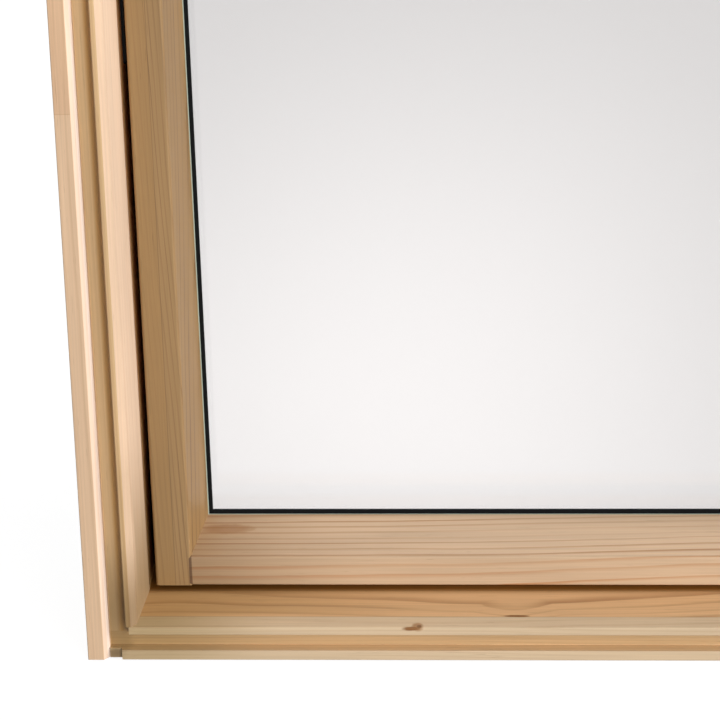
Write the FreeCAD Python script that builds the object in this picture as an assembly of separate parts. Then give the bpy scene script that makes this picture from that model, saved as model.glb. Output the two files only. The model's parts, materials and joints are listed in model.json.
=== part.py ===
import FreeCAD, Part
import math
import os

# Centre pivot roof window, built closed. Millimetres, +Z up, room side towards -Y.
# Sections are drawn as (across, depth): across runs inwards from the outer face of
# the frame, depth runs outwards from the room plane.

WIDTH = 780.0
HEIGHT = 1180.0
WOOD_DEPTH = 100.0
ROOM_Y = -WOOD_DEPTH / 2

# frame
GROOVE_DEPTH = 10.0
GROOVE_WIDTH = 13.2
INNER_LIP_DEPTH = 42.0

LEG_FACE = 12.0
LEG_BEVEL_WIDTH = 4.5
LEG_BEVEL_DEPTH = 5.0
STILE_LEG = LEG_FACE + LEG_BEVEL_WIDTH
STILE_GROOVE_END = STILE_LEG + GROOVE_WIDTH
STILE_LIP = 3.9
LIP_BEVEL_WIDTH = 4.6
LIP_BEVEL_DEPTH = 4.5
STILE_LIP_END = STILE_GROOVE_END + STILE_LIP
STILE_BEVEL_END = STILE_LIP_END + LIP_BEVEL_WIDTH
STILE_REVEAL = 43.9

RAIL_LIP = 8.1
RAIL_GROOVE_END = RAIL_LIP + GROOVE_WIDTH
RAIL_LIP_END = 27.9
RAIL_REVEAL = 36.2

LIP_ROUND = 1.4
CORNER_ROUND = 0.8

# frame corner joint
RAIL_SHOULDER = 32.0
TENON_HEIGHT = 19.6
TENON_BACK = 60.0
FOOT_DROP = 4.0
LIP_START = 26.0

# sash
SASH_GAP_SIDE = 5.6
SASH_GAP_END = 4.9
SASH_SIDE = STILE_REVEAL + SASH_GAP_SIDE
SASH_END = RAIL_REVEAL + SASH_GAP_END
SASH_FRONT = INNER_LIP_DEPTH
STILE_FACE = 27.2
RAIL_FACE = 24.5
STILE_SPLAY = 9.9
RAIL_SPLAY = 11.6
REBATE_DEPTH = 10.0
LEDGE_DEPTH = WOOD_DEPTH - REBATE_DEPTH
LEDGE = 18.0
SASH_ROUND = 2.0

# glazing
GASKET = 2.0
GASKET_SHOW = 3.6
GASKET_HOLD = 8.0
PANE = 4.0
CAVITY = 16.0
PANE_CLEAR = 2.5
SPACER_WIDTH = 6.0
SPACER_INSET = 2.0
SEAL = 2.0
SEAL_LAP = 5.5

# hinges, at half height
HINGE_LENGTH = 270.0
SASH_PLATE_LENGTH = 230.0
PLATE = 2.2
PLATE_FRONT = 66.0
PLATE_BACK = 83.0
PLATE_ROUND = 7.0
PIN_RADIUS = 5.0
PIN_COLLAR = 8.0

# gap seal
SEAL_FRONT = 84.0
SEAL_BACK = 90.0

# outer covers
SHEET = 1.5
COVER_RISE = 12.0
HOOD_RISE = 16.0
COVER_EDGE = 2.0
COVER_CLEAR = 2.0
TRIM_LAP = 6.0

# control at the head of the sash
BAR_LENGTH = 560.0
BAR_TALL = 22.0
BAR_THICK = 12.0
BAR_FRONT = 18.0
BAR_ROUND = 5.0
BAR_UP = SASH_END + RAIL_FACE / 2
ARM_WIDTH = 24.0
ARM_TALL = 14.0
ARM_INSET = 60.0
LATCH_WIDTH = 70.0
LATCH_TALL = 18.0
STRIKE_WIDTH = 60.0
STRIKE = 2.0
STRIKE_FRONT = 46.0
STRIKE_BACK = 60.0

SASH_EDGE_SIDE = SASH_SIDE + STILE_FACE
SASH_EDGE_END = SASH_END + RAIL_FACE
SIGHT_SIDE = SASH_EDGE_SIDE + STILE_SPLAY
SIGHT_END = SASH_EDGE_END + RAIL_SPLAY
REBATE_SIDE = SIGHT_SIDE - LEDGE
REBATE_END = SIGHT_END - LEDGE
GLASS_SIDE = REBATE_SIDE + PANE_CLEAR
GLASS_END = REBATE_END + PANE_CLEAR
INNER_PANE = LEDGE_DEPTH + GASKET
OUTER_PANE = INNER_PANE + PANE + CAVITY
GLASS_BACK = OUTER_PANE + PANE
TRIM_DEPTH = GLASS_BACK + SEAL
MID_HEIGHT = HEIGHT / 2


def node(name, shape):
    """Writes one solid as the named node."""
    shape = shape.removeSplitter()
    shape.exportStep("parts/%s.step" % name)


def outline(corners, place):
    """Closed wire from (p, q, radius) corners put in space by place; a radius rounds
    that corner."""
    edges = []
    starts, ends, mids = [], [], []
    count = len(corners)
    for i in range(count):
        p = place(*corners[i][:2])
        a = place(*corners[i - 1][:2]) - p
        b = place(*corners[(i + 1) % count][:2]) - p
        a.normalize()
        b.normalize()
        radius = corners[i][2] if len(corners[i]) > 2 else 0.0
        half = a.getAngle(b) / 2
        reach = radius / math.tan(half)
        starts.append(p + a * reach)
        ends.append(p + b * reach)
        bisector = a + b
        if radius > 0:
            bisector.normalize()
            mids.append(p + bisector * (radius / math.sin(half) - radius))
        else:
            mids.append(None)
    for i in range(count):
        if mids[i] is not None:
            edges.append(Part.Arc(starts[i], mids[i], ends[i]).toShape())
        edges.append(Part.LineSegment(ends[i], starts[(i + 1) % count]).toShape())
    return Part.Wire(edges)


def upright(corners, low, high):
    """Left-hand member: section (across, depth) carried along Z."""
    wire = outline(corners, lambda p, q: FreeCAD.Vector(p - WIDTH / 2, ROOM_Y + q, low))
    return Part.Face(wire).extrude(FreeCAD.Vector(0, 0, high - low))


def level(corners, start, end):
    """Bottom member: section (across, depth) carried along X between two distances
    from the left outer face."""
    wire = outline(corners, lambda p, q: FreeCAD.Vector(start - WIDTH / 2, ROOM_Y + q, p))
    return Part.Face(wire).extrude(FreeCAD.Vector(end - start, 0, 0))


def block(across, depth, up):
    """Box from three (low, high) pairs: across from the left outer face, depth from
    the room plane, up from the underside."""
    return Part.makeBox(across[1] - across[0], depth[1] - depth[0], up[1] - up[0],
                        FreeCAD.Vector(across[0] - WIDTH / 2, ROOM_Y + depth[0], up[0]))


def ring(side, end, wide_side, wide_end, front, back):
    """Rectangular band round the opening, side and end being its outer insets."""
    outer = block((side, WIDTH - side), (front, back), (end, HEIGHT - end))
    inner = block((side + wide_side, WIDTH - side - wide_side), (front, back),
                  (end + wide_end, HEIGHT - end - wide_end))
    return outer.cut(inner)


def to_right(shape):
    """Left-hand piece mirrored to the right."""
    return shape.mirror(FreeCAD.Vector(0, 0, 0), FreeCAD.Vector(1, 0, 0))


def to_top(shape):
    """Bottom piece mirrored to the top."""
    return shape.mirror(FreeCAD.Vector(0, 0, MID_HEIGHT), FreeCAD.Vector(0, 0, 1))


def both_sides(name, shape):
    """Writes a left-hand piece and its mirror image."""
    node("left_" + name, shape)
    node("right_" + name, to_right(shape))


def frame_rail():
    """Bottom frame member: grooved section between the shoulders, with an open
    tenon, a low foot and a lip run on into the stiles' grooves."""
    body = level([(0, 0, CORNER_ROUND), (RAIL_LIP, 0, CORNER_ROUND), (RAIL_LIP, GROOVE_DEPTH),
                  (RAIL_GROOVE_END, GROOVE_DEPTH), (RAIL_GROOVE_END, 0, CORNER_ROUND),
                  (RAIL_LIP_END, 0, LIP_ROUND), (RAIL_REVEAL, INNER_LIP_DEPTH),
                  (RAIL_REVEAL, WOOD_DEPTH), (0, WOOD_DEPTH)],
                 RAIL_SHOULDER, WIDTH - RAIL_SHOULDER)
    for turn in (False, True):
        end = block((STILE_LEG, RAIL_SHOULDER), (GROOVE_DEPTH, TENON_BACK), (0, TENON_HEIGHT))
        end = end.fuse(block((STILE_LEG, RAIL_SHOULDER), (FOOT_DROP, GROOVE_DEPTH), (0, RAIL_LIP)))
        end = end.fuse(level([(0, 0, CORNER_ROUND), (RAIL_LIP, 0, CORNER_ROUND),
                              (RAIL_LIP, GROOVE_DEPTH), (0, GROOVE_DEPTH)],
                             LIP_START, RAIL_SHOULDER))
        body = body.fuse(to_right(end) if turn else end)
    return body


def frame_stile(rail):
    """Left frame member: bevelled leg, lining groove and inner leg, cut back at both
    ends where the rails pass."""
    body = upright([(0, 0, CORNER_ROUND), (LEG_FACE, 0, CORNER_ROUND),
                    (STILE_LEG, LEG_BEVEL_DEPTH), (STILE_LEG, GROOVE_DEPTH),
                    (STILE_GROOVE_END, GROOVE_DEPTH), (STILE_GROOVE_END, 0, CORNER_ROUND),
                    (STILE_LIP_END, 0, CORNER_ROUND), (STILE_BEVEL_END, LIP_BEVEL_DEPTH, LIP_ROUND),
                    (STILE_REVEAL, INNER_LIP_DEPTH), (STILE_REVEAL, WOOD_DEPTH), (0, WOOD_DEPTH)],
                   0, HEIGHT)
    under = level([(0, 0), (RAIL_LIP_END, 0), (RAIL_REVEAL, INNER_LIP_DEPTH),
                   (RAIL_REVEAL, WOOD_DEPTH), (0, WOOD_DEPTH)],
                  RAIL_SHOULDER, 2 * RAIL_SHOULDER)
    mouth = block((STILE_LEG, RAIL_SHOULDER), (0, GROOVE_DEPTH), (0, RAIL_LIP_END))
    clear = under.fuse(mouth)
    for cutter in (clear, to_top(clear), rail, to_top(rail)):
        body = body.cut(cutter)
    return body


def sash_stile():
    """Left sash member, running through from end to end."""
    return upright([(SASH_SIDE, SASH_FRONT, SASH_ROUND), (SASH_EDGE_SIDE, SASH_FRONT, SASH_ROUND),
                    (SIGHT_SIDE, LEDGE_DEPTH, CORNER_ROUND), (REBATE_SIDE, LEDGE_DEPTH),
                    (REBATE_SIDE, WOOD_DEPTH), (SASH_SIDE, WOOD_DEPTH)],
                   SASH_END, HEIGHT - SASH_END)


def sash_rail(stile):
    """Bottom sash member, its ends coped over the stiles' section."""
    body = level([(SASH_END, SASH_FRONT, SASH_ROUND), (SASH_EDGE_END, SASH_FRONT, SASH_ROUND),
                  (SIGHT_END, LEDGE_DEPTH, CORNER_ROUND), (REBATE_END, LEDGE_DEPTH),
                  (REBATE_END, WOOD_DEPTH), (SASH_END, WOOD_DEPTH)],
                 REBATE_SIDE, WIDTH - REBATE_SIDE)
    return body.cut(stile).cut(to_right(stile))


def channel(low, high, rise):
    """Section of a sheet cover standing on the outer face of the frame."""
    base, top = WOOD_DEPTH, WOOD_DEPTH + rise
    return [(low, base), (low, top), (high, top), (high, base), (high - SHEET, base),
            (high - SHEET, top - SHEET), (low + SHEET, top - SHEET), (low + SHEET, base)]


def trim(side, reach):
    """Section of a sash cover: a leg on the wood and a plate over the glass edge."""
    top = TRIM_DEPTH + SHEET
    return [(side, WOOD_DEPTH), (side, top), (reach, top), (reach, TRIM_DEPTH),
            (side + SHEET, TRIM_DEPTH), (side + SHEET, WOOD_DEPTH)]


def hinge_plate(across, length):
    """Round-ended plate in the side gap with a hole for the pivot."""
    low, high = MID_HEIGHT - length / 2, MID_HEIGHT + length / 2
    plate = level([(low, PLATE_FRONT, PLATE_ROUND), (high, PLATE_FRONT, PLATE_ROUND),
                   (high, PLATE_BACK, PLATE_ROUND), (low, PLATE_BACK, PLATE_ROUND)], *across)
    hole = pivot(across[0], across[1], PIN_RADIUS)
    return plate.cut(hole)


def pivot(start, end, radius):
    """Cylinder on the pivot axis between two distances from the left outer face."""
    return Part.makeCylinder(radius, end - start,
                             FreeCAD.Vector(start - WIDTH / 2, ROOM_Y + (PLATE_FRONT + PLATE_BACK) / 2,
                                            MID_HEIGHT), FreeCAD.Vector(1, 0, 0))


def make_frame():
    rail = frame_rail()
    node("frame_bottom_rail", rail)
    node("frame_top_rail", to_top(rail))
    stile = frame_stile(rail)
    node("frame_left_stile", stile)
    node("frame_right_stile", to_right(stile))
    node("frame_seal", ring(STILE_REVEAL, RAIL_REVEAL, SASH_GAP_SIDE, SASH_GAP_END,
                            SEAL_FRONT, SEAL_BACK))


def make_sash():
    stile = sash_stile()
    node("sash_left_stile", stile)
    node("sash_right_stile", to_right(stile))
    rail = sash_rail(stile)
    node("sash_bottom_rail", rail)
    node("sash_top_rail", to_top(rail))


def make_glazing():
    hold_side, hold_end = SIGHT_SIDE - GASKET_HOLD, SIGHT_END - GASKET_HOLD
    wide = GASKET_HOLD + GASKET_SHOW
    node("inner_gasket", ring(hold_side, hold_end, wide, wide, LEDGE_DEPTH, INNER_PANE))
    glass = ((GLASS_SIDE, WIDTH - GLASS_SIDE), (GLASS_END, HEIGHT - GLASS_END))
    node("inner_pane", block(glass[0], (INNER_PANE, INNER_PANE + PANE), glass[1]))
    node("outer_pane", block(glass[0], (OUTER_PANE, GLASS_BACK), glass[1]))
    node("glass_spacer", ring(GLASS_SIDE + SPACER_INSET, GLASS_END + SPACER_INSET,
                              SPACER_WIDTH, SPACER_WIDTH, INNER_PANE + PANE, OUTER_PANE))
    node("outer_glazing_seal", ring(GLASS_SIDE, GLASS_END, SEAL_LAP, SEAL_LAP, GLASS_BACK, TRIM_DEPTH))


def make_hinges():
    both_sides("frame_hinge_plate", hinge_plate((STILE_REVEAL, STILE_REVEAL + PLATE), HINGE_LENGTH))
    both_sides("sash_hinge_plate", hinge_plate((SASH_SIDE - PLATE, SASH_SIDE), SASH_PLATE_LENGTH))
    pin = pivot(STILE_REVEAL, SASH_SIDE, PIN_RADIUS)
    both_sides("pivot_pin", pin.fuse(pivot(STILE_REVEAL + PLATE, SASH_SIDE - PLATE, PIN_COLLAR)))


def make_covers():
    inner_side = SASH_SIDE - COVER_CLEAR
    inner_end = SASH_END - COVER_CLEAR
    side = channel(COVER_EDGE, inner_side, COVER_RISE)
    both_sides("lower_side_cover", upright(side, inner_end, MID_HEIGHT))
    both_sides("upper_side_cover", upright(side, MID_HEIGHT, HEIGHT - inner_end))
    node("bottom_cover", level(channel(COVER_EDGE, inner_end, COVER_RISE), COVER_EDGE,
                               WIDTH - COVER_EDGE))
    node("top_hood", to_top(level(channel(COVER_EDGE, inner_end, HOOD_RISE), COVER_EDGE,
                                  WIDTH - COVER_EDGE)))
    reach_side, reach_end = GLASS_SIDE + TRIM_LAP, GLASS_END + TRIM_LAP
    both_sides("sash_cover", upright(trim(SASH_SIDE, reach_side), SASH_END, HEIGHT - SASH_END))
    end = level(trim(SASH_END, reach_end), reach_side, WIDTH - reach_side)
    node("bottom_sash_cover", end)
    node("top_sash_cover", to_top(end))


def make_control():
    middle = WIDTH / 2
    bar_back = BAR_FRONT + BAR_THICK
    bar = level([(BAR_UP - BAR_TALL / 2, BAR_FRONT, BAR_ROUND), (BAR_UP + BAR_TALL / 2, BAR_FRONT, BAR_ROUND),
                 (BAR_UP + BAR_TALL / 2, bar_back, CORNER_ROUND),
                 (BAR_UP - BAR_TALL / 2, bar_back, CORNER_ROUND)],
                middle - BAR_LENGTH / 2, middle + BAR_LENGTH / 2)
    node("control_bar", to_top(bar))
    arm_start = middle - BAR_LENGTH / 2 + ARM_INSET
    arm = block((arm_start, arm_start + ARM_WIDTH), (bar_back, SASH_FRONT),
                (BAR_UP - ARM_TALL / 2, BAR_UP + ARM_TALL / 2))
    both_sides("bar_arm", to_top(arm))
    node("latch_case", to_top(block((middle - LATCH_WIDTH / 2, middle + LATCH_WIDTH / 2),
                                    (bar_back, SASH_FRONT),
                                    (BAR_UP - LATCH_TALL / 2, BAR_UP + LATCH_TALL / 2))))
    node("strike_plate", to_top(block((middle - STRIKE_WIDTH / 2, middle + STRIKE_WIDTH / 2),
                                      (STRIKE_FRONT, STRIKE_BACK),
                                      (RAIL_REVEAL, RAIL_REVEAL + STRIKE))))


def main():
    os.makedirs("parts", exist_ok=True)
    make_frame()
    make_sash()
    make_glazing()
    make_hinges()
    make_covers()
    make_control()


main()
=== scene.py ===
"""Looks of the closed pine pivot window: grained timber, seals, glass, sheet covers and screws."""

import json
import logging
import math
from dataclasses import dataclass, field, replace
from enum import Enum
from typing import Sequence

import bpy
import numpy as np
from mathutils import Matrix, Vector

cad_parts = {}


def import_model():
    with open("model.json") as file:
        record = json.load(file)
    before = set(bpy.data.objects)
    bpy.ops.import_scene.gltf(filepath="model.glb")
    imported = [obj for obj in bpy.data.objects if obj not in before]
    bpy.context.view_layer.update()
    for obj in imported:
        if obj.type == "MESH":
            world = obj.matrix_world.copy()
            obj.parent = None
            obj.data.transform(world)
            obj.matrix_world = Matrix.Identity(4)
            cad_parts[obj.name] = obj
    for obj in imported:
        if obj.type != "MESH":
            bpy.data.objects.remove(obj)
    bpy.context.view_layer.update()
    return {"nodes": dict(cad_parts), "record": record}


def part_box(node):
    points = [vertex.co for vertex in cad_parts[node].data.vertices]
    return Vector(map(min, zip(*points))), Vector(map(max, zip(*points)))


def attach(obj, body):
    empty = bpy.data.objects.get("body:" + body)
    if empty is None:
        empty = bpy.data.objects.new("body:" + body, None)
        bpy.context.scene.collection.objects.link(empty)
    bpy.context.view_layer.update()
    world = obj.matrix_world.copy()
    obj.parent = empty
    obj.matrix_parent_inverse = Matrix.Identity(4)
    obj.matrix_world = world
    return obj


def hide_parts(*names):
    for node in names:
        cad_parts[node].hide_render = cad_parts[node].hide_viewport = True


LOG = logging.getLogger("window")
MM = 0.001

Colour = tuple[float, float, float]
Display = tuple[int, int, int]
Pair = tuple[float, float]
Place = tuple[float, float, float]
Socket = bpy.types.NodeSocket

WHITE: Colour = (1.0, 1.0, 1.0)
KNOT_BROWN: Display = (136, 88, 40)
SHIFT_RATIO: Place = (1.0, 1.7, 0.6)


def linear(red: int, green: int, blue: int) -> Colour:
    """Turns a display colour of 0 to 255 into the linear colour that shaders take.

    Args:
        red, green, blue: display values.

    Returns:
        The linear colour.
    """
    values = np.array([red, green, blue]) / 255.0
    curve = np.where(values <= 0.04045, values / 12.92, ((values + 0.055) / 1.055) ** 2.4)
    return tuple(float(v) for v in curve)


def deeper(colour: Colour, share: float) -> Colour:
    """The colour times a share."""
    return tuple(share * v for v in colour)


class Axis(Enum):
    """The window's axes, by their column in an array of points."""

    X = 0
    Y = 1
    Z = 2


class Grain(Enum):
    """Which way the fibres of a timber member run."""

    UPRIGHT = "upright"
    LEVEL = "level"

    def stretch(self, across: float, along: float) -> Place:
        """Noise scales along X, Y and Z for a scale across and along the fibres."""
        return (across, across, along) if self is Grain.UPRIGHT else (along, across, across)

    def axis(self) -> Axis:
        """The axis along the fibres."""
        return Axis.Z if self is Grain.UPRIGHT else Axis.X


class Graph:
    """A material's node tree with short calls for the nodes that the finishes share."""

    def __init__(self, name: str) -> None:
        """Starts an empty tree with a principled shader on the output."""
        self.material = bpy.data.materials.new(name)
        self.material.use_nodes = True
        self.tree = self.material.node_tree
        self.tree.nodes.clear()
        self.shader = self.add("ShaderNodeBsdfPrincipled")
        self.output = self.add("ShaderNodeOutputMaterial")
        self.link(self.shader.outputs["BSDF"], self.output.inputs["Surface"])

    def add(self, kind: str, **settings: object) -> bpy.types.Node:
        """Adds one node and sets its properties.

        Args:
            kind: Blender's node type name.
            settings: properties of the node.

        Returns:
            The node.
        """
        node = self.tree.nodes.new(kind)
        for key, value in settings.items():
            setattr(node, key, value)
        return node

    def link(self, source: Socket, target: Socket) -> None:
        """Joins two sockets."""
        self.tree.links.new(source, target)

    def feed(self, socket: Socket, value: object) -> None:
        """Gives an input a socket's value or a constant."""
        if isinstance(value, Socket):
            self.link(value, socket)
        else:
            socket.default_value = value

    def math(self, operation: str, *values: object, clamp: bool = False) -> Socket:
        """Works out one scalar operation.

        Args:
            operation: Blender's name of the operation.
            values: sockets or numbers.
            clamp: keeps the result between 0 and 1.

        Returns:
            The result's socket.
        """
        node = self.add("ShaderNodeMath", operation=operation, use_clamp=clamp)
        for socket, value in zip(node.inputs, values):
            self.feed(socket, value)
        return node.outputs[0]

    def length(self, a: Socket, b: Socket) -> Socket:
        """The root of the sum of two squares."""
        squares = self.math("ADD", self.math("MULTIPLY", a, a), self.math("MULTIPLY", b, b))
        return self.math("SQRT", squares)

    def step(self, value: Socket, low: float, high: float) -> Socket:
        """Rises smoothly from 0 at low to 1 at high, or falls where low is the larger.

        Args:
            value: socket to test.
            low, high: ends of the ramp.

        Returns:
            The ramp's socket.
        """
        node = self.add("ShaderNodeMapRange", interpolation_type="SMOOTHSTEP")
        self.feed(node.inputs["Value"], value)
        node.inputs["From Min"].default_value = min(low, high)
        node.inputs["From Max"].default_value = max(low, high)
        node.inputs["To Min"].default_value = float(low > high)
        node.inputs["To Max"].default_value = float(low <= high)
        return node.outputs["Result"]

    def noise(self, vector: Socket, stretch: Sequence[float], detail: float = 3.0,
              shift: float = 0.0) -> Socket:
        """Fractal noise, stretched by a scale along each axis.

        Args:
            vector: coordinates in metres.
            stretch: scale along X, Y and Z.
            detail: octaves.
            shift: moves the pattern, so that two members differ.

        Returns:
            The noise from 0 to 1.
        """
        place = self.add("ShaderNodeMapping")
        self.link(vector, place.inputs["Vector"])
        place.inputs["Scale"].default_value = tuple(stretch)
        place.inputs["Location"].default_value = tuple(ratio * shift for ratio in SHIFT_RATIO)
        node = self.add("ShaderNodeTexNoise")
        node.inputs["Scale"].default_value = 1.0
        node.inputs["Detail"].default_value = detail
        self.link(place.outputs["Vector"], node.inputs["Vector"])
        return node.outputs["Fac"]

    def mix(self, share: object, first: object, second: object, blend: str = "MIX") -> Socket:
        """Blends two colours.

        Args:
            share: 0 gives the first, 1 the second.
            first, second: sockets or linear colours.
            blend: Blender's name of the blend.

        Returns:
            The colour's socket.
        """
        node = self.add("ShaderNodeMix", data_type="RGBA", blend_type=blend)
        self.feed(node.inputs[0], share)
        for socket, value in zip((node.inputs[6], node.inputs[7]), (first, second)):
            self.feed(socket, (*value, 1.0) if isinstance(value, tuple) else value)
        return node.outputs[2]

    def coordinates(self) -> Socket:
        """Object coordinates, which are the window's own metres."""
        return self.add("ShaderNodeTexCoord").outputs["Object"]

    def bump(self, height: Socket, strength: float, distance: float) -> None:
        """Feeds a height into the shader's normal."""
        node = self.add("ShaderNodeBump")
        node.inputs["Strength"].default_value = strength
        node.inputs["Distance"].default_value = distance
        self.link(height, node.inputs["Height"])
        self.link(node.outputs["Normal"], self.shader.inputs["Normal"])


@dataclass(frozen=True)
class Knot:
    """A knot or streak, or a patch of painted shade: its centre, its reach along and across the grain, its
    depth of tone, its colour and how many rings it pushes the grain aside."""

    centre: Place
    along: float
    across: float
    tone: float
    colour: Colour
    bend: float

    @classmethod
    def placed(cls, centre: Place, reach: Pair, tone: float, colour: Display = KNOT_BROWN,
               bend: float = 0.0) -> "Knot":
        """A knot from millimetres and a display colour.

        Args:
            centre: its place in the window.
            reach: its half length along and across the grain.
            tone: share of its colour, 0 for a knot that only bends the rings.
            colour: display colour.
            bend: rings that it pushes aside.

        Returns:
            The knot.
        """
        middle = tuple(value * MM for value in centre)
        return cls(middle, reach[0] * MM, reach[1] * MM, tone, linear(*colour), bend)


@dataclass(frozen=True)
class Band:
    """A strip of a member's section with its own colour, mostly painted shade and light: two distances from
    the window's middle, two depths, the share of the colour that it takes and the width of its blurred
    edges."""

    low: float
    high: float
    front: float
    back: float
    colour: Colour
    share: float
    soft: float

    @classmethod
    def placed(cls, away: Pair, depth: Pair, colour: Display, share: float, soft: float = 0.3) -> "Band":
        """A band from millimetres and a display colour.

        Args:
            away: nearest and farthest distance from the window's middle.
            depth: front and back.
            colour: display colour.
            share: of the colour.
            soft: width of the blurred edges.

        Returns:
            The band.
        """
        low, high, front, back = (value * MM for value in (*away, *depth))
        return cls(low, high, front, back, linear(*colour), share, soft * MM)


@dataclass(frozen=True)
class Board:
    """The second board of a glued member: the axis that crosses the glue line, the line's place on it,
    and the board's colour and ring contrast."""

    axis: Axis
    start: float
    colour: Colour
    contrast: float


@dataclass(frozen=True)
class Pattern:
    """A noise in the timber: its scales across and along the grain per metre, its octaves, and a shift
    that keeps it apart from the other noises."""

    across: float
    along: float
    octaves: float
    shift: float


@dataclass(frozen=True)
class Figure:
    """How rings, fibres and joints are drawn in every timber.

    A ramp is the two ends of a smooth step. A gain is a factor and an offset. A share is how much of a
    colour is laid on, and a depth is the part of the dark colour that is left in it.
    """

    drift: Pattern = Pattern(9.0, 2.4, 1.5, 0.0)
    ripple: Pattern = Pattern(70.0, 11.0, 2.0, 5.0)
    fade: Pattern = Pattern(45.0, 2.6, 2.0, 9.0)
    rim: Pattern = Pattern(260.0, 120.0, 2.0, 33.0)
    fibre: Pattern = Pattern(800.0, 10.0, 4.0, 2.0)
    cloud: Pattern = Pattern(30.0, 4.0, 2.0, 13.0)
    fleck: Pattern = Pattern(1300.0, 40.0, 2.0, 21.0)
    drift_reach: float = 2.4
    ripple_reach: float = 0.32
    uneven_scale: float = 0.45
    late_rise: Pair = (0.56, 0.9)
    late_fall: Pair = (1.0, 0.92)
    ring_gain: Pair = (0.65, 0.35)
    fade_ramp: Pair = (0.3, 0.66)
    fade_gain: Pair = (0.7, 0.3)
    rim_gain: Pair = (1.4, 0.3)
    rim_ramp: Pair = (1.0, 0.2)
    fleck_ramp: Pair = (0.68, 0.76)
    fleck_share: float = 0.3
    fleck_depth: float = 0.5
    glue_blur: float = 0.2 * MM
    swirl_blur: float = 0.3 * MM
    seam_ramp: Pair = (0.5 * MM, 0.1 * MM)
    seam_share: float = 0.35
    seam_depth: float = 0.6
    butt_ramp: Pair = (0.9 * MM, 0.2 * MM)
    butt_share: float = 0.75
    butt_depth: float = 0.25
    finger_from: float = 378 * MM
    finger_edge: float = 0.5 * MM
    finger_blur: float = 0.3 * MM
    finger_tone: Colour = (0.95, 0.9, 0.86)
    finger_share: float = 0.4
    corner_blur: float = 1 * MM
    end_skin: float = 0.5 * MM
    fibre_gain: Pair = (0.3, 0.67)
    cloud_share: float = 0.36
    gloss_gain: Pair = (0.16, 0.4)
    line_height: float = 0.6
    bump_strength: float = 0.12
    bump_distance: float = 0.4 * MM


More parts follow.
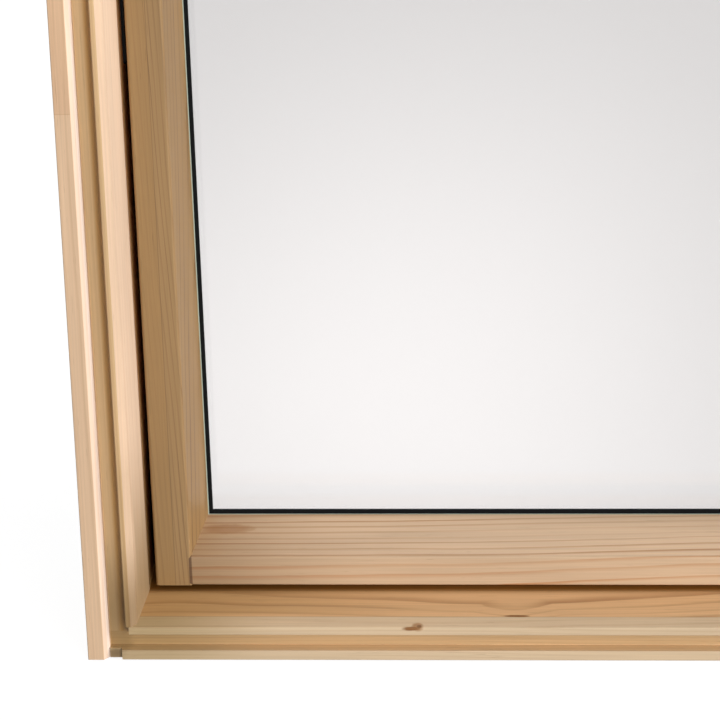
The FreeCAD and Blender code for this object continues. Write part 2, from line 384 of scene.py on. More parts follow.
@dataclass(frozen=True)
class Timber:
    """Clear lacquered pine.

    The growth rings are distances from a tree axis that leans against the member, so that a face cut
    near the axis shows arches and a face cut across the rings shows straight lines. Slow noise makes
    the rings wander, a noise of the distance makes them uneven, each ring has its own strength, and a
    glue line may part the member into two boards of different tone. A member may also have a flank
    colour, which its surfaces behind the front face take, dark tips at its butt ends, and a finger
    joint, above which its outer face is redder. A butt or finger of 0 means none.
    """

    name: str
    grain: Grain
    pale: Colour
    dark: Colour
    heart: Pair
    lean: Pair
    ring: float
    contrast: float
    shift: float
    wander: float = 0.006
    board: Board | None = None
    butt: float = 0.0
    finger: float = 0.0
    flank: Colour | None = None
    flank_from: float = -7.98 * MM
    flank_soft: float = 0.4 * MM
    knots: tuple[Knot, ...] = ()
    bands: tuple[Band, ...] = ()
    # The inner corner and the middle height, then the painted shade towards the inner corners: its reach,
    # its colour, and where front faces, grooves and outer legs are spared.
    corner: Pair = (345 * MM, 552 * MM)
    middle: float = 590 * MM
    corner_reach: float = 115 * MM
    corner_shade: Colour | None = (0.4, 0.36, 0.26)
    front_reach: float = 75 * MM
    front_share: float = 0.8
    front: Pair = (-30 * MM, -46 * MM)
    trough: float = 359.6 * MM
    leg: float = 373.7 * MM
    figure: Figure = Figure()

    def noise(self, g: Graph, point: Socket, pattern: Pattern) -> Socket:
        """One of the noises, drawn out along this member's grain."""
        stretch = self.grain.stretch(pattern.across, pattern.along)
        return g.noise(point, stretch, pattern.octaves, self.shift + pattern.shift)

    def rings(self, g: Graph, point: Socket, parts: Sequence[Socket]) -> Socket:
        """The latewood lines: a slow rise through each ring and a sharp fall at its end.

        Args:
            g: the tree.
            point: Object coordinates.
            parts: their X, Y and Z.

        Returns:
            The lines' strength from 0 to 1.
        """
        figure = self.figure
        x, y, z = parts
        along, side = (z, x) if self.grain is Grain.UPRIGHT else (x, z)
        a = g.math("SUBTRACT", side, g.math("MULTIPLY_ADD", along, self.lean[0], self.heart[0]))
        b = g.math("SUBTRACT", y, g.math("MULTIPLY_ADD", along, self.lean[1], self.heart[1]))
        reach = g.length(a, b)
        drift = self.noise(g, point, figure.drift)
        reach = g.math("MULTIPLY_ADD", drift, figure.drift_reach * self.wander, reach)
        ripple = self.noise(g, point, figure.ripple)
        reach = g.math("MULTIPLY_ADD", ripple, figure.ripple_reach * self.ring, reach)
        for knot in self.knots:
            if knot.bend:
                behind = g.step(y, self.board.start, self.board.start + figure.swirl_blur)
                near = g.math("MULTIPLY", self.nearness(g, point, parts, knot), behind)
                reach = g.math("MULTIPLY_ADD", near, knot.bend * self.ring, reach)
        uneven = g.add("ShaderNodeTexNoise", noise_dimensions="1D")
        uneven.inputs["Scale"].default_value = figure.uneven_scale / self.ring
        g.link(reach, uneven.inputs["W"])
        count = g.math("ADD", g.math("DIVIDE", reach, self.ring), uneven.outputs["Fac"])
        phase = g.math("FRACT", count)
        line = g.math("MULTIPLY", g.step(phase, *figure.late_rise), g.step(phase, *figure.late_fall))
        own = g.add("ShaderNodeTexWhiteNoise", noise_dimensions="1D")
        g.link(g.math("FLOOR", count), own.inputs["W"])
        fade = g.step(self.noise(g, point, figure.fade), *figure.fade_ramp)
        gain = g.math("MULTIPLY", g.math("MULTIPLY_ADD", own.outputs["Value"], *figure.ring_gain),
                      g.math("MULTIPLY_ADD", fade, *figure.fade_gain))
        return g.math("MULTIPLY", line, gain)

    def nearness(self, g: Graph, point: Socket, parts: Sequence[Socket], knot: Knot) -> Socket:
        """Fades from 1 at a knot's centre to 0 at its rim, an ellipsoid drawn out along the grain, with a
        rough rim where it is a tone and a straight slope where it bends the rings.

        Args:
            g: the tree.
            point: Object coordinates.
            parts: their X, Y and Z.
            knot: the knot.

        Returns:
            The fade's socket.
        """
        reach = [knot.across] * 3
        reach[self.grain.axis().value] = knot.along
        squares = [g.math("POWER", g.math("DIVIDE", g.math("SUBTRACT", p, c), r), 2.0)
                   for p, c, r in zip(parts, knot.centre, reach)]
        total = g.math("ADD", g.math("ADD", squares[0], squares[1]), squares[2])
        if knot.bend:
            return g.math("SUBTRACT", 1.0, g.math("SQRT", total), clamp=True)
        rough = g.math("MULTIPLY_ADD", self.noise(g, point, self.figure.rim), *self.figure.rim_gain)
        return g.step(g.math("MULTIPLY", total, rough), *self.figure.rim_ramp)

    def corners(self, g: Graph, parts: Sequence[Socket]) -> Socket:
        """Painted shade: a deeper, yellower tone towards the four inner corners, where shade falls,
        sooner gone on the front faces and in the stiles' grooves, and not on the stiles' outer legs or the
        outer faces.

        Args:
            g: the tree.
            parts: the X, Y and Z sockets.

        Returns:
            The painted shade's colour, white away from the corners.
        """
        x, y, z = parts
        blur = self.figure.corner_blur
        out = g.math("ABSOLUTE", x)
        rise = g.math("ABSOLUTE", g.math("SUBTRACT", z, self.middle))
        away = g.length(g.math("SUBTRACT", out, self.corner[0]), g.math("SUBTRACT", rise, self.corner[1]))
        front = g.math("MAXIMUM", g.math("MULTIPLY", g.step(y, *self.front), self.front_share),
                       g.step(out, self.trough, self.trough + blur))
        ends = g.math("MAXIMUM", g.step(out, self.leg - blur, self.leg),
                      g.step(rise, self.middle - blur, self.middle - self.figure.end_skin))
        spared = g.math("MAXIMUM", g.math("MULTIPLY", front, g.step(away, 0.0, self.front_reach)), ends)
        open_face = g.math("MAXIMUM", g.step(away, 0.0, self.corner_reach), spared)
        return g.mix(open_face, self.corner_shade, WHITE)

    def banded(self, g: Graph, parts: Sequence[Socket], colour: object) -> object:
        """Lays the bands' colours, mostly painted shade and light, over a colour.

        Args:
            g: the tree.
            parts: the X, Y and Z sockets.
            colour: the colour below, a socket or a constant.

        Returns:
            The colour with the bands.
        """
        across = parts[0] if self.grain is Grain.UPRIGHT else g.math("SUBTRACT", parts[2], self.middle)
        away = g.math("ABSOLUTE", across)
        for band in self.bands:
            wide = g.math("MULTIPLY", g.step(away, band.low, band.low + band.soft),
                          g.step(away, band.high, band.high - band.soft))
            deep = g.math("MULTIPLY", g.step(parts[1], band.front, band.front + band.soft),
                          g.step(parts[1], band.back + band.soft, band.back))
            share = g.math("MULTIPLY", g.math("MULTIPLY", wide, deep), band.share)
            colour = g.mix(share, colour, band.colour)
        return colour

    def jointed(self, g: Graph, parts: Sequence[Socket], colour: Socket) -> Socket:
        """Lays the glue line, the dark butt tips and the finger joint over a colour, where there are any.

        Args:
            g: the tree.
            parts: the X, Y and Z sockets.
            colour: the colour below.

        Returns:
            The colour with the joints.
        """
        figure = self.figure
        along = parts[self.grain.axis().value]
        if self.board:
            off = g.math("SUBTRACT", parts[self.board.axis.value], self.board.start)
            seam = g.step(g.math("ABSOLUTE", off), *figure.seam_ramp)
            shade = deeper(self.dark, figure.seam_depth)
            colour = g.mix(g.math("MULTIPLY", seam, figure.seam_share), colour, shade)
        if self.butt:
            low, high = (self.butt - inset for inset in figure.butt_ramp)
            tip = g.step(g.math("ABSOLUTE", along), low, high)
            shade = deeper(self.dark, figure.butt_depth)
            colour = g.mix(g.math("MULTIPLY", tip, figure.butt_share), colour, shade)
        if self.finger:
            leg = g.step(g.math("ABSOLUTE", parts[0]), figure.finger_from,
                         figure.finger_from + figure.finger_edge)
            above = g.step(along, self.finger, self.finger + figure.finger_blur)
            colour = g.mix(g.math("MULTIPLY", leg, above), colour, figure.finger_tone, "MULTIPLY")
            off = g.math("SUBTRACT", along, self.finger)
            joint = g.math("MULTIPLY", g.step(g.math("ABSOLUTE", off), *figure.seam_ramp), leg)
            colour = g.mix(g.math("MULTIPLY", joint, figure.finger_share), colour, self.dark)
        return colour

    def material(self) -> bpy.types.Material:
        """Builds the timber's node material.

        Returns:
            The material.
        """
        figure = self.figure
        g = Graph(self.name)
        point = g.coordinates()
        split = g.add("ShaderNodeSeparateXYZ")
        g.link(point, split.inputs[0])
        parts = tuple(split.outputs)
        line = self.rings(g, point, parts)
        fibre = self.noise(g, point, figure.fibre)
        cloud = self.noise(g, point, figure.cloud)
        fleck = g.step(self.noise(g, point, figure.fleck), *figure.fleck_ramp)
        colour = self.pale
        depth = self.contrast
        if self.board:
            start = self.board.start
            second = g.step(parts[self.board.axis.value], start - figure.glue_blur, start + figure.glue_blur)
            colour = g.mix(second, self.pale, self.board.colour)
            depth = g.math("MULTIPLY_ADD", second, self.board.contrast - self.contrast, self.contrast)
        if self.flank:
            behind = g.step(parts[1], self.flank_from, self.flank_from + self.flank_soft)
            colour = g.mix(behind, colour, self.flank)
        colour = self.banded(g, parts, colour)
        colour = g.mix(g.math("MULTIPLY", line, depth), colour, self.dark)
        shade = deeper(self.dark, figure.fleck_depth)
        colour = g.mix(g.math("MULTIPLY", fleck, figure.fleck_share), colour, shade)
        colour = self.jointed(g, parts, colour)
        for knot in self.knots:
            if knot.tone:
                core = g.math("MULTIPLY", self.nearness(g, point, parts, knot), knot.tone)
                colour = g.mix(core, colour, knot.colour)
        tone = g.math("ADD", g.math("MULTIPLY_ADD", fibre, *figure.fibre_gain),
                      g.math("MULTIPLY", cloud, figure.cloud_share))
        colour = g.mix(1.0, colour, tone, "MULTIPLY")
        # Painted shade towards the inner corners.
        if self.corner_shade:
            colour = g.mix(1.0, colour, self.corners(g, parts), "MULTIPLY")
        g.link(colour, g.shader.inputs["Base Color"])
        g.link(g.math("MULTIPLY_ADD", fibre, *figure.gloss_gain), g.shader.inputs["Roughness"])
        height = g.math("MULTIPLY_ADD", line, figure.line_height, fibre)
        g.bump(height, figure.bump_strength, figure.bump_distance)
        return g.material


@dataclass(frozen=True)
class Coated:
    """A coated or bare metal, rubber or plastic: one tone with a fine mottle in colour and surface."""

    name: str
    colour: Colour
    roughness: float
    metallic: float = 0.0
    mottle: float = 0.06
    specular: float = 0.5
    relief: float = 0.03
    relief_distance: float = 0.2 * MM
    grit_scale: float = 700.0
    broad_scale: float = 9.0
    broad_shift: float = 4.0
    gloss_sway: float = 0.12

    def material(self) -> bpy.types.Material:
        """Builds the coating's node material.

        Returns:
            The material.
        """
        g = Graph(self.name)
        point = g.coordinates()
        grit = g.noise(point, (self.grit_scale,) * 3, 3.0)
        broad = g.noise(point, (self.broad_scale,) * 3, 2.0, self.broad_shift)
        share = g.math("ADD", g.math("MULTIPLY", grit, 0.5), g.math("MULTIPLY", broad, 0.5))
        colour = g.mix(share, deeper(self.colour, 1.0 - 2.0 * self.mottle),
                       deeper(self.colour, 1.0 + 2.0 * self.mottle))
        g.link(colour, g.shader.inputs["Base Color"])
        gloss = g.math("MULTIPLY_ADD", broad, self.gloss_sway, self.roughness - self.gloss_sway / 2)
        g.link(gloss, g.shader.inputs["Roughness"])
        g.shader.inputs["Metallic"].default_value = self.metallic
        g.shader.inputs["Specular IOR Level"].default_value = self.specular
        g.bump(grit, self.relief, self.relief_distance)
        return g.material


@dataclass(frozen=True)
class Glass:
    """Clear float glass with a faint haze in its gloss."""

    name: str
    tint: Colour
    index: float = 1.45
    haze: float = 0.012
    haze_scale: Place = (2.2, 2.2, 1.4)

    def material(self) -> bpy.types.Material:
        """Builds the glass material.

        Returns:
            The material.
        """
        g = Graph(self.name)
        haze = g.noise(g.coordinates(), self.haze_scale, 2.0)
        g.link(g.math("MULTIPLY", haze, self.haze), g.shader.inputs["Roughness"])
        g.shader.inputs["Base Color"].default_value = (*self.tint, 1.0)
        g.shader.inputs["Transmission Weight"].default_value = 1.0
        g.shader.inputs["IOR"].default_value = self.index
        return g.material


def mesh_object(name: str, points: np.ndarray, faces: np.ndarray, smooth: bool = True) -> bpy.types.Object:
    """Puts arrays into a mesh object at the origin, its faces turned outwards.

    The signed volume is a sixth of the sum of a . (b x c) over the triangles; where it is negative,
    every face is turned round.

    Args:
        name: the object's name.
        points: (n, 3) metres.
        faces: (m, 4) vertex numbers.
        smooth: shades the faces smooth.

    Returns:
        The object, linked to the scene.
    """
    a, b, c, d = (points[faces[:, i]] for i in range(4))
    volume = np.einsum("ij,ij->", a, np.cross(b, c)) + np.einsum("ij,ij->", a, np.cross(c, d))
    faces = faces[:, ::-1] if volume < 0.0 else faces
    mesh = bpy.data.meshes.new(name)
    mesh.from_pydata(points.tolist(), [], faces.tolist())
    mesh.polygons.foreach_set("use_smooth", np.full(len(mesh.polygons), smooth))
    mesh.update()
    piece = bpy.data.objects.new(name, mesh)
    bpy.context.scene.collection.objects.link(piece)
    return piece


def grid_faces(rows: int, columns: int, wrap_rows: bool, wrap_columns: bool) -> np.ndarray:
    """Quads of a grid of vertices numbered row by row.

    Args:
        rows, columns: vertices each way.
        wrap_rows, wrap_columns: joins the last row or column to the first.

    Returns:
        (m, 4) vertex numbers.
    """
    i = np.arange(rows if wrap_rows else rows - 1)[:, None]
    j = np.arange(columns if wrap_columns else columns - 1)[None, :]
    up = (i + 1) % rows
    right = (j + 1) % columns
    quads = np.stack(np.broadcast_arrays(i * columns + j, up * columns + j,
                                         up * columns + right, i * columns + right), axis=-1)
    return quads.reshape(-1, 4)


def carried_round(name: str, profile: np.ndarray, low: Sequence[float], high: Sequence[float],
                  slim: float = 1.0) -> bpy.types.Object:
    """A closed profile carried round a rectangle with mitred corners.

    A profile point (p, q) lies p inwards from the rectangle and at depth q. At each corner the section
    stands on the mitre, so its place is the corner moved p inwards both ways.

    Args:
        name: the object's name.
        profile: (k, 2) metres, going round the section.
        low, high: opposite corners of the rectangle, of which X and Z count.
        slim: scales the inward reach of the lower and upper run.

    Returns:
        The object.
    """
    corner = np.array([[0.0, 0.0], [1.0, 0.0], [1.0, 1.0], [0.0, 1.0]])
    inward = profile[None, :, 0]
    x = np.where(corner[:, :1] > 0.5, high[0] - inward, low[0] + inward)
    z = np.where(corner[:, 1:] > 0.5, high[2] - slim * inward, low[2] + slim * inward)
    y = np.broadcast_to(profile[None, :, 1], x.shape)
    points = np.stack([x, y, z], axis=-1).reshape(-1, 3)
    return mesh_object(name, points, grid_faces(4, len(profile), True, True), smooth=False)


def lip_profile(start: float, end: float, front: float, back: float, nose: float,
                steps: int = 9) -> np.ndarray:
    """A flat strip with a half-round nose on its inner edge.

    The nose is half an ellipse: its reach times the cosine inwards, half the depth times the sine across.

    Args:
        start, end: reach inwards.
        front, back: depths.
        nose: how far the round stands out from the strip's end.
        steps: points on the round.

    Returns:
        (k, 2) points, going round the section.
    """
    turn = np.linspace(-math.pi / 2, math.pi / 2, steps)
    middle = (front + back) / 2
    half = (back - front) / 2
    bow = np.stack([end - nose + nose * np.cos(turn), middle + half * np.sin(turn)], axis=-1)
    return np.vstack([[start, front], bow, [start, back]])


def turned(profile: np.ndarray, centres: np.ndarray, axis: Vector,
           steps: int = 20) -> tuple[np.ndarray, np.ndarray]:
    """Copies of a surface of revolution, one at each centre.

    A profile point (r, h) goes to the centre plus h along the axis plus r round it. The first and the
    last profile point lie on the axis, so the surface is closed.

    Args:
        profile: (k, 2) radius and height.
        centres: (n, 3) feet of the copies.
        axis: the way that the copies point.
        steps: points round the circle.

    Returns:
        Vertices and faces of all copies.
    """
    turn = np.array(axis.to_track_quat("Z", "Y").to_matrix())
    angle = np.linspace(0.0, 2.0 * math.pi, steps, endpoint=False)
    height = np.broadcast_to(profile[:, 1:], (len(profile), steps))
    rounds = np.stack([profile[:, :1] * np.cos(angle), profile[:, :1] * np.sin(angle), height], axis=-1)
    local = rounds.reshape(-1, 3) @ turn.T
    faces = grid_faces(len(profile), steps, False, True)
    points = (centres[:, None, :] + local[None]).reshape(-1, 3)
    numbers = (faces[None] + (np.arange(len(centres)) * len(local))[:, None, None]).reshape(-1, 4)
    return points, numbers


@dataclass
class Palette:
    """Every finish of the window, made once and found by name."""

    made: dict[str, bpy.types.Material] = field(default_factory=dict)

    def frame_stile(self) -> Timber:
        """The left frame stile: quiet straight rings and a finger joint in its outer face, with painted
        shade in the groove and towards the corners, painted highlights on the reveal and the bevel, and
        painted light deep in the gap.

        Returns:
            The timber.
        """
        # Painted shade in the groove, darker in its inner half beside the lip.
        groove_shade = Band.placed((360.2, 373.6), (-46, -39), (216, 182, 132), 0.85)
        groove_inner_shade = Band.placed((360.2, 368), (-46, -39), (196, 142, 50), 0.65, 4)
        # Painted highlight: a paler, less yellow reveal where the light falls.
        reveal_highlight = Band.placed((340, 352), (-46, 50), (226, 197, 170), 1.0)
        # Painted light deep in the gap beside the sash.
        gap_light = Band.placed((330, 360), (-7, 50), (255, 196, 128), 1.0, 6)
        lip_edge = Band.placed((356.2, 360.4), (-51, -44), (224, 186, 130), 0.7)
        lip_front = Band.placed((351.6, 356.6), (-51, -45.2), (212, 181, 152), 0.9)
        # Painted highlight on the bevel, and painted light on its inner half, which the lip shades.
        bevel_highlight = Band.placed((373.4, 378), (-49.9, -44.5), (246, 226, 214), 0.4)
        bevel_inner_light = Band.placed((372.9, 376), (-47.5, -42.5), (255, 240, 230), 0.4, 1)
        return Timber(
            "pine_frame_left", Grain.UPRIGHT, pale=linear(231, 195, 159), dark=linear(186, 138, 92),
            heart=(-0.47, 0.05), lean=(0.01, 0.006), ring=0.0036, contrast=0.4, shift=1.0,
            corner_reach=165 * MM, finger=445 * MM,
            bands=(groove_shade, groove_inner_shade, reveal_highlight, gap_light, lip_edge, lip_front, bevel_highlight,
                   bevel_inner_light))

    def frame_rail(self) -> Timber:
        """The frame's bottom rail without its knots: a pale lip glued before a redder board, with painted
        shade in the groove, under the sash, at the four feet and towards the corners, and painted light on
        the outer lip's upper edge.

        Returns:
            The timber.
        """
        # Painted shade in the groove.
        groove_shade = Band.placed((568.5, 581.6), (-46, -39), (208, 171, 122), 0.85)
        # Painted light on the outer lip's upper edge inside the groove, which the groove's shadow darkens.
        ledge_light = Band.placed((581.4, 582.4), (-49, -39), (226, 190, 142), 0.85)
        # Painted shade under the sash.
        under_sash_shade = Band.placed((530, 580), (-13, 50), (140, 88, 0), 0.92, 10)
        # Painted shade at the four feet, where the rail meets the stiles' grooves, drawn as knots.
        feet = []
        for x in (-369.2, 369.2):
            for end in (0, 1180):
                near = Knot.placed((x, -46, abs(2.5 - end)), (5.6, 6.8), 0.45, (120, 92, 44))
                wide = Knot.placed((x, -40, abs(10 - end)), (16, 16), 0.35, (120, 92, 44))
                feet += [near, wide]
        return Timber(
            "pine_frame_bottom", Grain.LEVEL, pale=linear(218, 191, 156), dark=linear(164, 112, 68),
            heart=(-0.09, 0.03), lean=(0.004, 0.01), ring=0.0024, contrast=0.25, shift=7.0,
            board=Board(Axis.Y, -37.4 * MM, linear(226, 181, 132), 0.8),
            corner_reach=240 * MM, corner_shade=(0.68, 0.65, 0.52), front_reach=115 * MM,
            front_share=1.0, front=(-30 * MM, -38 * MM), knots=tuple(feet),
            bands=(groove_shade, ledge_light, under_sash_shade))

    def rail_knots(self) -> tuple[Knot, ...]:
        """The bottom rail's knot with its dark heart and tail, and a short streak with its swirl.

        Returns:
            The knots.
        """
        knot = Knot.placed((-140.8, -48.0, 27.7), (5.4, 4.4), 0.8, (164, 112, 62))
        dark_heart = Knot.placed((-139.6, -48.4, 28.0), (2.4, 2.2), 0.7, (110, 70, 30))
        tail = Knot.placed((-145.5, -49.8, 26.9), (7.5, 2.0), 1.0)
        streak = Knot.placed((-67, -36.4, 30.6), (12, 1.6), 0.95)
        swirl = Knot.placed((-67, -37.4, 30.4), (34, 24), 0.0, bend=-0.9)
        return (knot, dark_heart, tail, streak, swirl)

    def sash_stile(self) -> Timber:
        """The left sash stile: a browner front board and a splay with clearer rings, all coloured dark brown
        as painted shade from the frame that stands proud of the sash.

        Returns:
            The timber.
        """
        return Timber(
            # Painted shade: dark colours for the whole stile, its splay included, where the frame standing
            # in front of the sash shades it.
            "pine_sash_left", Grain.UPRIGHT, pale=linear(153, 120, 76), dark=linear(100, 68, 36),
            heart=(-0.4253, 0.076), lean=(-0.026, 0.0195), ring=0.003, contrast=0.3, shift=17.0,
            wander=0.004, board=Board(Axis.X, -325.5 * MM, linear(155, 123, 81), 1.0),
            flank=linear(148, 115, 73), corner_shade=None)

    def sash_rail(self) -> Timber:
        """The sash's bottom rail without its streak: strong wide rings and dark butt tips, a splay paler
        than the front as painted light, and painted shade towards the corners.

        Returns:
            The timber.
        """
        return Timber(
            "pine_sash_bottom", Grain.LEVEL, pale=linear(207, 176, 143), dark=linear(184, 120, 66),
            heart=(-0.109, -0.224), lean=(0.01, 0.012), ring=0.006, contrast=1.0, shift=23.0,
            # Painted light: the splay behind the front face is paler than the front.
            wander=0.005, flank=linear(232, 199, 164), flank_from=-7.4 * MM, flank_soft=1.6 * MM,
            corner_reach=170 * MM, corner_shade=(0.54, 0.48, 0.38), butt=313.3 * MM)

    def timbers(self) -> dict[str, Timber]:
        """The pine of each member, whose boards differ as sawn boards do; both sash stiles carry the same
        painted shade.

        Returns:
            The timbers by node name.
        """
        stile = self.frame_stile()
        rail = self.frame_rail()
        sash_stile = self.sash_stile()
        sash_rail = self.sash_rail()
        far_board = replace(sash_stile.board, start=325.5 * MM, colour=sash_stile.pale)
        streak = Knot.placed((-288, 23, 73), (24, 7), 0.6, (192, 136, 84))
        return {
            "frame_left_stile": stile,
            "frame_right_stile": replace(stile, name="pine_frame_right", heart=(0.47, 0.045),
                                         lean=(-0.01, 0.005), finger=760 * MM, shift=31.0),
            "frame_bottom_rail": replace(rail, knots=rail.knots + self.rail_knots()),
            "frame_top_rail": replace(rail, name="pine_frame_top", heart=(1.27, 0.03),
                                      lean=(-0.004, 0.01), shift=41.0),
            "sash_left_stile": sash_stile,
            # The right sash stile keeps the left one's painted shade.
            "sash_right_stile": replace(sash_stile, name="pine_sash_right", heart=(0.4253, 0.076),
                                        lean=(0.026, 0.0195), pale=sash_stile.board.colour,
                                        board=far_board, shift=53.0),
            "sash_bottom_rail": replace(sash_rail, knots=(streak,)),
            "sash_top_rail": replace(sash_rail, name="pine_sash_top", heart=(1.289, -0.224), shift=61.0),
        }

    def build(self) -> None:
        """Builds all materials."""
        finishes = {
            **self.timbers(),
            "glass": Glass("float_glass", tint=(0.98, 0.98, 0.98)),
            "rubber": Coated("black_rubber", (0.004, 0.0045, 0.005), 0.75, mottle=0.2, specular=0.12),
            "tape": Coated("pale_tape", linear(176, 190, 176), 0.5),
            "black": Coated("black_coat", (0.008, 0.008, 0.009), 0.5, mottle=0.15, specular=0.3),
            "grey": Coated("grey_coat", linear(98, 101, 104), 0.42),
            "bare": Coated("bare_aluminium", (0.4, 0.41, 0.42), 0.42, metallic=1.0, mottle=0.04),
            "steel": Coated("plated_steel", (0.55, 0.56, 0.57), 0.28, metallic=1.0, mottle=0.05),
        }
        self.made = {name: finish.material() for name, finish in finishes.items()}

    def wear(self, piece: bpy.types.Object, finish: str) -> None:
        """Puts one finish on a piece."""
        piece.data.materials.clear()
        piece.data.materials.append(self.made[finish])


@dataclass
class Joinery:
    """The solids that keep their shapes and take finishes: timber, panes, plates and covers."""

    palette: Palette
    finishes: dict[str, str] = field(default_factory=lambda: {
        "clear_glass": "glass", "spacer_metal": "bare", "black_rubber": "rubber",
        "black_steel": "black", "grey_sheet": "grey", "bar_metal": "bare"})

    def dress(self, nodes: dict[str, bpy.types.Object], slots: dict[str, str]) -> None:
        """Gives each node its finish, the timber members each their own.

        Args:
            nodes: the solids by name.
            slots: each node's material slot.
        """
        for name, node in nodes.items():
            finish = name if name in self.palette.made else self.finishes[slots[name]]
            self.palette.wear(node, finish)
            LOG.info("%s takes %s", name, finish)


@dataclass
class Seals:
    """The rubber round the glass and in the gap, drawn as lipped strips in place of plain bands."""

    palette: Palette
    nose: float = 0.8 * MM
    gasket_reach: float = 11.6 * MM
    gasket_slim: float = 0.975
    outer_reach: float = 5.5 * MM
    bulb_reach: float = 5.6 * MM
    bulb_nose: float = 4.0 * MM
    bulb_slim: float = 4.9 / 5.6
    clear: float = 0.04 * MM
    tape_show: float = 0.65 * MM
    tape_slim: float = 0.4
    tape_thick: float = 0.25 * MM
    tape_tuck: float = 0.4 * MM
    tape_sink: float = 0.1 * MM

    def ring(self, node: str, name: str, reach: float, nose: float, slim: float = 1.0) -> None:
        """Replaces a plain band by a strip with a rounded inner nose.

        Args:
            node: the band's node.
            name: the new piece's name.
            reach: of the strip, inwards from the band's outer edge.
            nose: the round's reach.
            slim: scales the reach of the lower and upper run.
        """
        low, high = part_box(node)
        profile = lip_profile(0.0, reach, low[1] + self.clear, high[1] - self.clear, nose)
        piece = carried_round(name, profile, low, high, slim)
        self.palette.wear(piece, "rubber")
        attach(piece, "root")
        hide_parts(node)
        LOG.info("%s stands for %s", name, node)

    def tape(self) -> None:
        """A pale strip on the gasket's room side, showing as a thin line beside the timber."""
        gasket_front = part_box("inner_gasket")[0][1]
        low = (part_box("sash_left_stile")[1][0], 0.0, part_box("sash_bottom_rail")[1][2])
        high = (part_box("sash_right_stile")[0][0], 0.0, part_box("sash_top_rail")[0][2])
        front = gasket_front - self.tape_thick
        back = gasket_front + self.tape_sink
        profile = np.array([[-self.tape_tuck, front], [self.tape_show, front],
                            [self.tape_show, back], [-self.tape_tuck, back]])
        piece = carried_round("tape_edge", profile, low, high, self.tape_slim)
        self.palette.wear(piece, "tape")
        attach(piece, "root")
        LOG.info("tape_edge lies on the gasket")

    def build(self) -> None:
        """Builds the three seals and the pale edge of the glazing tape."""
        self.ring("inner_gasket", "glazing_gasket", self.gasket_reach, self.nose, self.gasket_slim)
        self.ring("outer_glazing_seal", "outer_lip_seal", self.outer_reach, self.nose)
        self.ring("frame_seal", "gap_bulb_seal", self.bulb_reach, self.bulb_nose, self.bulb_slim)
        self.tape()


@dataclass
class Screws:
    """Pan-head screws of the outer covers."""

    palette: Palette
    head: float = 4.2 * MM
    rise: float = 1.6 * MM
    recess: float = 1.0 * MM
    sink: float = 0.2 * MM
    dome_turn: float = 1.25
    dome_points: int = 8
    well_taper: float = 0.9
    side_inset: float = 45 * MM
    side_count: int = 3
    end_inset: float = 40 * MM
    end_count: int = 4

    def profile(self) -> np.ndarray:
        """Half section of a domed head with a round driving recess.

        The dome is part of a quarter ellipse from the rim to the recess, which then drops to its floor;
        the underside closes on the axis.

        Returns:
            (k, 2) radius and height.
        """
        t = np.linspace(0.0, self.dome_turn, self.dome_points)
        dome = np.stack([self.head * np.cos(t), self.rise * np.sin(t)], axis=-1)
        inner, brink = dome[-1]
        well = [[self.well_taper * inner, brink - self.recess], [0.0, brink - self.recess]]
        return np.vstack([[0.0, -self.sink], [self.head, -self.sink], dome, well])

    def along(self, node: str, inset: float, count: int, runs: Axis) -> np.ndarray:
        """Evenly spaced places on a node's outer face, along its length.

        Args:
            node: the node.
            inset: distance of the first and last from the ends.
            count: how many.
            runs: the axis along the node.

        Returns:
            (count, 3) places.
        """
        low, high = (np.array(v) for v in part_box(node))
        places = np.tile((low + high) / 2, (count, 1))
        places[:, 1] = high[1]
        column = runs.value
        places[:, column] = np.linspace(low[column] + inset, high[column] - inset, count)
        return places

    def build(self) -> None:
        """Builds the screws of the side covers, the bottom cover and the hood."""
        upright = [f"{side}_{part}_side_cover" for side in ("left", "right") for part in ("lower", "upper")]
        feet = [self.along(node, self.side_inset, self.side_count, Axis.Z) for node in upright]
        feet += [self.along(node, self.end_inset, self.end_count, Axis.X)
                 for node in ("bottom_cover", "top_hood")]
        points, faces = turned(self.profile(), np.vstack(feet), Vector((0.0, 1.0, 0.0)))
        piece = mesh_object("cover_screws", points, faces)
        self.palette.wear(piece, "steel")
        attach(piece, "root")
        LOG.info("cover_screws holds %d heads", sum(len(f) for f in feet))


@dataclass(frozen=True)
class Lamp:
    """A square soft lamp: where it stands, what it looks at, its side and its watts."""

    name: str
    place: Place
    aim: Place
    size: float
    power: float

    def build(self) -> None:
        """Adds the lamp to the scene."""
        data = bpy.data.lights.new(self.name, "AREA")
        data.energy = self.power
        data.size = self.size
        lamp = bpy.data.objects.new(self.name, data)
        lamp.location = self.place
        lamp.rotation_euler = (Vector(self.aim) - Vector(self.place)).to_track_quat("-Z", "Y").to_euler()
        bpy.context.scene.collection.objects.link(lamp)


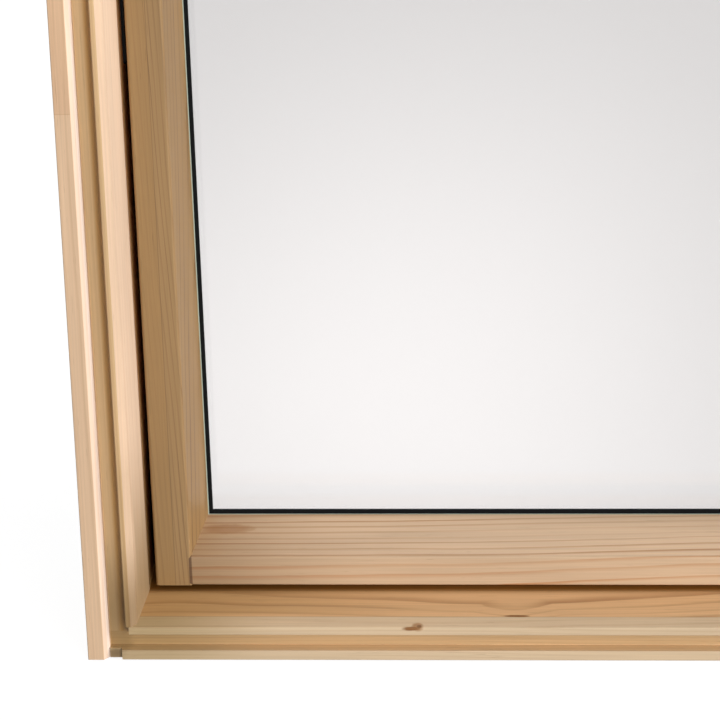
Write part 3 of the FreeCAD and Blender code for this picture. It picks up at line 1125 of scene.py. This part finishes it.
@dataclass
class Studio:
    """White floor, soft light from the room's right and a long-lens camera."""

    eye: Place = (0.06533, -3.23702, 1.77987)
    right: Place = (0.997661, 0.060596, -0.031642)
    up: Place = (0.002299, 0.432873, 0.901452)
    lens: float = 243.21
    sensor: float = 36.0
    sight: float = 100.0
    sky_light: float = 0.28
    floor_half: float = 14.0
    floor_rows: int = 5
    floor_drop: float = 0.6 * MM
    floor_tone: Colour = (0.2, 0.2, 0.2)
    floor_roughness: float = 0.9
    floor_glow: float = 0.9
    # Painted light and shade on the floor as the glass shows it: a warm tint, and grey growing away from a
    # pale pool.
    glass_warmth: Colour = (1.0, 0.965, 0.955)
    pool_shift: Place = (0.396, -0.36, 0.0)
    pool_scale: Place = (2.2, 0.95, 1.0)
    pool_reach: float = 1.15
    pool_gain: Pair = (0.3, 0.04)
    lamps: tuple[Lamp, ...] = (
        Lamp("key", (8.0, -2.4, 2.2), (-0.35, -0.02, 0.3), 2.8, 580.0),
        Lamp("fill", (1.28, -3.3, 0.85), (-0.3, 0.0, 0.2), 1.6, 76.0),
        Lamp("rear", (-1.6, 3.2, 2.6), (0.0, 0.0, 0.6), 2.0, 60.0),
    )

    def camera(self) -> None:
        """Places the camera by its right and up vectors."""
        data = bpy.data.cameras.new("camera")
        data.lens = self.lens
        data.sensor_width = self.sensor
        data.sensor_fit = "HORIZONTAL"
        data.clip_end = self.sight
        camera = bpy.data.objects.new("camera", data)
        bpy.context.scene.collection.objects.link(camera)
        right = Vector(self.right).normalized()
        back = right.cross(Vector(self.up).normalized()).normalized()
        turn = Matrix((right, back.cross(right), back)).transposed().to_4x4()
        camera.matrix_world = Matrix.Translation(self.eye) @ turn
        bpy.context.scene.camera = camera

    def world(self) -> None:
        """Even weak light on the object; the camera and the glass see white beyond the floor."""
        world = bpy.data.worlds.new("world")
        world.use_nodes = True
        tree = world.node_tree
        sky = tree.nodes["Background"]
        sky.inputs["Color"].default_value = (*WHITE, 1.0)
        path = tree.nodes.new("ShaderNodeLightPath")
        seen = tree.nodes.new("ShaderNodeMath")
        seen.operation = "MAXIMUM"
        tree.links.new(path.outputs["Is Camera Ray"], seen.inputs[0])
        tree.links.new(path.outputs["Is Transmission Ray"], seen.inputs[1])
        level = tree.nodes.new("ShaderNodeMapRange")
        level.inputs["To Min"].default_value = self.sky_light
        level.inputs["To Max"].default_value = 1.0
        tree.links.new(seen.outputs[0], level.inputs["Value"])
        tree.links.new(level.outputs["Result"], sky.inputs["Strength"])
        bpy.context.scene.world = world

    def floor(self) -> None:
        """A wide white floor that keeps a faint shadow; through glass it is a little warm and greys away
        from a pale pool, painted light and shade for what the panes show. It is a flat square grid of points
        just below the window."""
        reach = np.linspace(-self.floor_half, self.floor_half, self.floor_rows)
        x, y = np.meshgrid(reach, reach, indexing="ij")
        points = np.stack([x, y, np.full_like(x, -self.floor_drop)], axis=-1).reshape(-1, 3)
        faces = grid_faces(self.floor_rows, self.floor_rows, False, False)
        floor = mesh_object("floor", points, faces, smooth=False)
        floor.data.materials.append(self.floor_material())

    def floor_material(self) -> bpy.types.Material:
        """Builds the floor's material: a dim diffuse floor under a glow that the camera and gloss see, and
        painted shade that greys it through glass.

        Returns:
            The material.
        """
        g = Graph("white_floor")
        pool = g.add("ShaderNodeMapping")
        pool.inputs["Location"].default_value = self.pool_shift
        pool.inputs["Scale"].default_value = self.pool_scale
        g.link(g.coordinates(), pool.inputs["Vector"])
        away = g.add("ShaderNodeVectorMath", operation="LENGTH")
        g.link(pool.outputs["Vector"], away.inputs[0])
        path = g.add("ShaderNodeLightPath")
        through = path.outputs["Is Transmission Ray"]
        seen = g.math("MAXIMUM", path.outputs["Is Camera Ray"], path.outputs["Is Glossy Ray"])
        fall = g.step(away.outputs["Value"], 0.0, self.pool_reach)
        # Painted shade through glass: grey that grows away from the pool.
        grey = g.math("MULTIPLY", through, g.math("MULTIPLY_ADD", fall, *self.pool_gain))
        glow = g.add("ShaderNodeEmission")
        g.link(g.mix(through, WHITE, self.glass_warmth), glow.inputs["Color"])
        strength = g.math("SUBTRACT", g.math("MULTIPLY", seen, self.floor_glow), grey)
        g.link(strength, glow.inputs["Strength"])
        g.shader.inputs["Base Color"].default_value = (*self.floor_tone, 1.0)
        g.shader.inputs["Roughness"].default_value = self.floor_roughness
        g.shader.inputs["Specular IOR Level"].default_value = 0.0
        both = g.add("ShaderNodeAddShader")
        g.link(g.shader.outputs[0], both.inputs[0])
        g.link(glow.outputs[0], both.inputs[1])
        g.link(both.outputs[0], g.output.inputs["Surface"])
        return g.material

    def build(self) -> None:
        """Sets up the floor, the light and the camera."""
        bpy.context.scene.view_settings.view_transform = "Standard"
        self.floor()
        self.world()
        for lamp in self.lamps:
            lamp.build()
        self.camera()


def main() -> None:
    """Loads the solids, dresses them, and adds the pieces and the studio."""
    logging.basicConfig(level=logging.INFO, format="%(message)s")
    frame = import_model()
    palette = Palette()
    palette.build()
    slots = {part["node"]: part["material_slot"] for part in frame["record"]["subparts"]}
    Joinery(palette).dress(frame["nodes"], slots)
    Seals(palette).build()
    Screws(palette).build()
    Studio().build()


if __name__ == "__main__":
    main()
